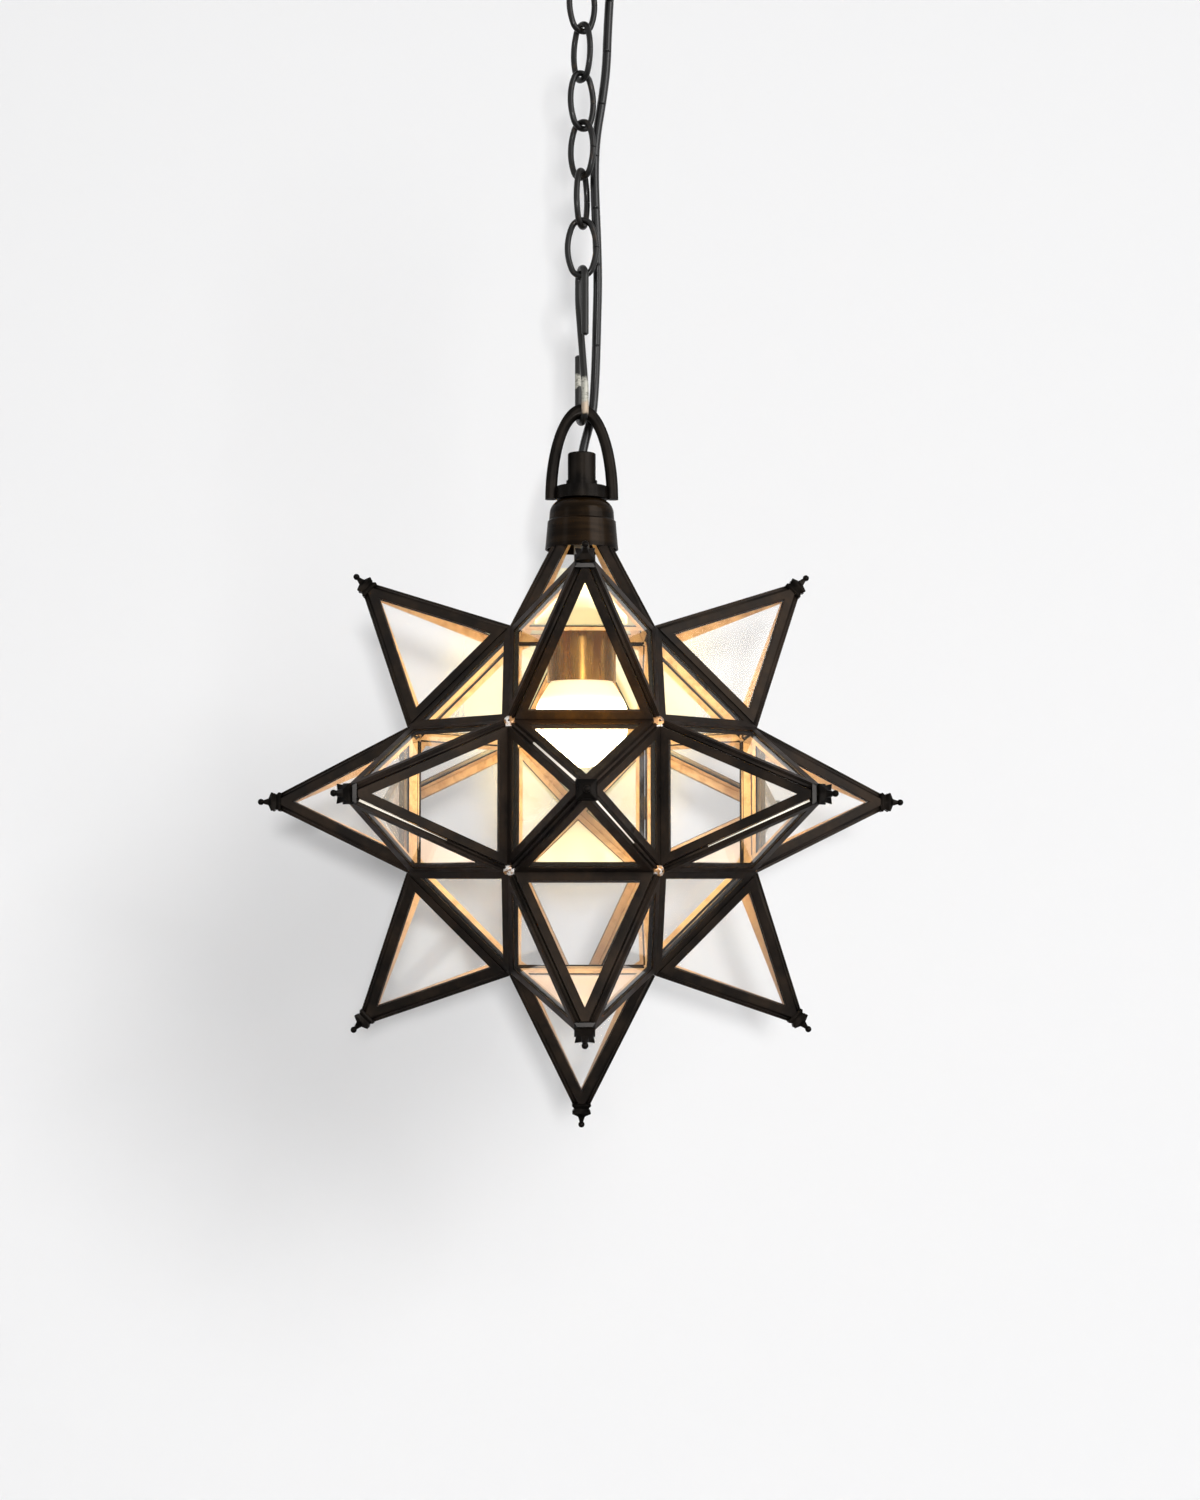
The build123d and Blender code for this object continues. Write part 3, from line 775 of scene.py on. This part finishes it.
def addRidges(shape, gleams, direction):
    s = solder
    near, tall, thick = s["coreEdge"] / 2, s["pointHeight"], s["ridgeRadius"]
    centre, normal, level, rise = squareAxes(direction)
    apex = centre + normal * tall
    last = s["topSeamEnd"] if direction == topSquare else s["seamEnd"]
    for a, b in ((1, 1), (1, -1), (-1, 1), (-1, -1)):
        corner = centre + near * (a * level + b * rise)
        out = (2 * near * normal + tall * (a * level + b * rise)).normalized()

        def addStretch(target, start, end, depth, radius, endRadius):
            first = corner.lerp(apex, start) - out * depth
            addRod(target, first, corner.lerp(apex, end) - out * depth, radius, endRadius)

        opened, shut, thin, wide = openSeams.get((direction, (a, b)), (last, last, 0, 0))
        addStretch(shape, 0.0, opened, s["ridgeSink"], thick, thick)
        if opened < shut:
            addStretch(gleams, opened, shut, s["gleamSink"], thin, wide)
            addStretch(shape, shut, last, s["ridgeSink"], thick, thick)


def addValleys(shape, direction):
    s = solder
    near, tall = s["coreEdge"] / 2, s["pointHeight"]
    centre, normal, level, rise = squareAxes(direction)
    straight = sum(abs(c) for c in direction) == 1
    for side in (level, -level, rise, -rise):
        middle = centre + side * near
        half = normal.cross(side) * (near - s["edgeShort"])
        beyond = normal + side
        if straight:
            spot = middle + (normal + beyond.normalized()).normalized() * s["valleyRise"]
            addRod(shape, spot - half, spot + half, s["valleyRadius"], s["valleyRadius"])
        elif all(round(c, 3) for c in beyond):  # a triangle lies beyond this side
            pane = Vector([1 if c > 0 else -1 for c in beyond]).normalized()
            flat = (side - pane * side.dot(pane)).normalized()
            slope = (normal * tall - side * near).normalized()
            spot = middle + (slope - flat).normalized() * s["triangleShift"]
            addRod(shape, spot - half, spot + half, s["triangleRadius"], s["triangleRadius"])


def addBeads(shape):
    s = solder
    near = s["coreEdge"] / 2
    far = near * (1 + math.sqrt(2))
    flatten = Matrix.Diagonal((1, 1, s["beadFlat"], 1))
    fast, slow = s["beadWaves"]
    for reach in [(far, near, near), (near, far, near), (near, near, far)]:
        for corner in range(8):
            signs = [1 if corner >> axis & 1 else -1 for axis in range(3)]
            place = Vector(r * sign for r, sign in zip(reach, signs))
            if place.y > 0 and reach[1] == far:
                continue  # the door's own corners stay free
            out = place.normalized()
            turn = out.to_track_quat("Z", "Y").to_matrix().to_4x4()
            spot = Matrix.Translation(starCentre + place - out * s["beadSink"]) @ turn
            bead = bmesh.ops.create_icosphere(
                shape,
                subdivisions=s["beadFineness"],
                radius=s["beadRadius"] if reach[1] == far else s["smallBead"],
                matrix=spot @ flatten,
            )
            for k, vertex in enumerate(bead["verts"]):
                lump = math.sin(fast * k) * math.cos(slow * k + corner)
                vertex.co += out * s["beadRough"] * lump


def finishSolder(name, shape, finish, body):
    for face in shape.faces:
        face.smooth = True
    mesh = bpy.data.meshes.new(name)
    shape.to_mesh(mesh)
    shape.free()
    made = addPiece(name, mesh, finish)
    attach(made, body)


steps = (-1, 0, 1)
around = [(x, y, z) for x in steps for y in steps for z in steps]
squares = [way for way in around if sum(abs(c) for c in way) in (1, 2)]
seams, doorSeams, gleams, beads = (bmesh.new() for k in range(4))
for square in squares:
    addRidges(doorSeams if square == doorSquare else seams, gleams, square)
    if square != doorSquare:
        addValleys(seams, square)
addBeads(beads)
finishSolder("solderSeams", seams, cameFinish, "lantern")
finishSolder("doorSeams", doorSeams, cameFinish, "door")
finishSolder("seamGleams", gleams, gleamFinish, "lantern")
finishSolder("solderBeads", beads, solderFinish, "lantern")
print("solder set on", len(squares), "squares")


# Studio: a pale floor, a pale wall seen from its front only, and soft lamps
studio = {
    "wall": rgb(0.86, 0.86, 0.865),
    "floor": rgb(0.68, 0.68, 0.685),
    "paperRoughness": 0.9,
    "paperSpecular": 0.1,
    "wallAt": 0.68,  # behind the lantern at its widest swing
    "floorAt": -1.35,
    "reach": 6.0,
    "sky": 0.22,
    "white": 0.93,
}
warm = (1.0, 0.995, 0.99)
cool = (0.97, 0.985, 1.0)
boxes = {  # place, width and height, watts, colour
    "keyBox": ((6.4, -6.7, 3.3), (5.6, 5.6), 536.0, warm),
    "frontBox": ((0.26, -6.0, -0.35), (0.5, 0.5), 139.0, warm),
    "rightBox": ((1.8, -0.7, -0.3), (0.5, 1.4), 8.0, cool),
    "leftBox": ((-1.7, -1.1, -0.2), (0.5, 1.6), 3.0, cool),
}
wallLamps = {  # place, radius, power: these light the wall alone, for the shadow on it
    "wallKey": ((0.70, -2.15, -0.13), 0.36, 14.9),
    "wallFront": ((0.021, -2.12, -0.62), 0.039, 15.8),
}
shadeless = (  # the canopy's shadow stays off the wall, as it hangs above the photograph
    "canopy",
    "canopy_loop",
    "canopy_bushing",
    "canopy_stem",
    "mounting_strap",
    "strap_nut",
)


def makePaper(name):
    s = studio
    f = material(
        name + "Paper",
        Base_Color=s[name],
        Roughness=s["paperRoughness"],
        Specular_IOR_Level=s["paperSpecular"],
    )
    output = next(n for n in f.tree.nodes if n.type == "OUTPUT_MATERIAL")
    behind = f.node("ShaderNodeNewGeometry", out="Backfacing")
    empty = f.node("ShaderNodeBsdfTransparent")
    shown = Wire(f, f.shader.outputs[0])
    f.join(output, "Surface", f.node("ShaderNodeMixShader", None, {0: behind, 1: shown, 2: empty}))
    return f


def makeStage():
    y, z, r = studio["wallAt"], studio["floorAt"], studio["reach"]
    corners = {
        "wall": [(-r, y, z), (r, y, z), (r, y, r), (-r, y, r)],
        "floor": [(-r, -r, z), (r, -r, z), (r, r, z), (-r, r, z)],
    }
    for name, places in corners.items():
        mesh = bpy.data.meshes.new(name)
        mesh.from_pydata(places, [], [(0, 1, 2, 3)])
        addPiece(name, mesh, makePaper(name))


def makeSky():
    s = studio
    world = bpy.data.worlds.new("studioSky")
    bpy.context.scene.world = world
    f = Finish(world, "BACKGROUND")
    ray = f.node("ShaderNodeLightPath", out="Is Camera Ray")
    gloss = f.node("ShaderNodeLightPath", out="Is Glossy Ray")
    through = f.node("ShaderNodeLightPath", out="Is Transmission Ray")
    seen = ray.upTo(gloss).upTo(through)
    f.feed(Color=rgb(1, 1, 1), Strength=s["sky"] + (s["white"] - s["sky"]) * seen)


def addLamp(name, kind, place):
    lamp = bpy.data.objects.new(name, bpy.data.lights.new(name, kind))
    lamp.location = place
    bpy.context.scene.collection.objects.link(lamp)
    return lamp


def addBox(name, place, size, power, colour):
    lamp = addLamp(name, "AREA", place)
    lamp.data.shape = "RECTANGLE"
    lamp.data.size, lamp.data.size_y = size
    lamp.data.energy = power
    lamp.data.color = colour
    toStar = starCentre - Vector(place)
    lamp.rotation_euler = toStar.to_track_quat("-Z", "Y").to_euler()
    return lamp


def addWallLamp(name, place, radius, power):  # as strong near as far, and unseen
    lamp = addLamp(name, "POINT", place)
    lamp.data.shadow_soft_size = radius
    lamp.data.energy = power
    lamp.data.use_nodes = True
    tree = lamp.data.node_tree
    even = tree.nodes.new("ShaderNodeLightFalloff")
    even.inputs["Strength"].default_value = 1.0
    glow = next(n for n in tree.nodes if n.type == "EMISSION")
    tree.links.new(even.outputs["Constant"], glow.inputs["Strength"])
    lamp.visible_camera = lamp.visible_glossy = lamp.visible_transmission = False
    return lamp


def linkLamps(name, lamps, sheets, state):  # which lamps reach the wall and floor
    group = bpy.data.collections.new(name)
    for sheet in sheets:
        group.objects.link(bpy.data.objects[sheet])
    for member in group.collection_objects:
        member.light_linking.link_state = state
    for lamp in lamps:
        lamp.light_linking.receiver_collection = group


makeStage()
makeSky()
key, *others = [addBox(name, *values) for name, values in boxes.items()]
onWall = [addWallLamp(name, *values) for name, values in wallLamps.items()]
linkLamps("offWall", [key], ["wall"], "EXCLUDE")
linkLamps("offBackdrop", others + [nodes["lamp_glass"]], ["wall", "floor"], "EXCLUDE")
linkLamps("onWall", onWall, ["wall"], "INCLUDE")
for name in shadeless:
    nodes[name].visible_shadow = False
print("studio lit")


# Camera where the photograph was taken: a little left of the lantern and below its middle
shot = {
    "distance": 1.45,
    "toLeft": 0.80,  # degrees
    "below": 2.04,
    "aimRight": 1.265,
    "aimUp": 3.357,
    "lens": 54.5,
    "sensor": 36.0,
    "panesDeep": 32,  # one pane is seen through many others
}


def wayTo(right, up):  # straight back, turned by degrees
    right, up = math.radians(right), math.radians(up)
    return Vector((math.sin(right) * math.cos(up), math.cos(right) * math.cos(up), math.sin(up)))


def makeCamera():
    s = shot
    data = bpy.data.cameras.new("shot")
    data.sensor_width = s["sensor"]
    data.lens = s["lens"]
    camera = bpy.data.objects.new("shot", data)
    camera.location = starCentre - s["distance"] * wayTo(s["toLeft"], s["below"])
    camera.rotation_mode = "QUATERNION"
    look = wayTo(s["aimRight"], s["aimUp"])
    camera.rotation_quaternion = look.to_track_quat("-Z", "Y")
    bpy.context.scene.collection.objects.link(camera)
    bpy.context.scene.camera = camera


makeCamera()
bpy.context.scene.view_settings.view_transform = "Standard"
bpy.context.scene.cycles.transparent_max_bounces = shot["panesDeep"]
bpy.context.view_layer.update()
print("scene ready")
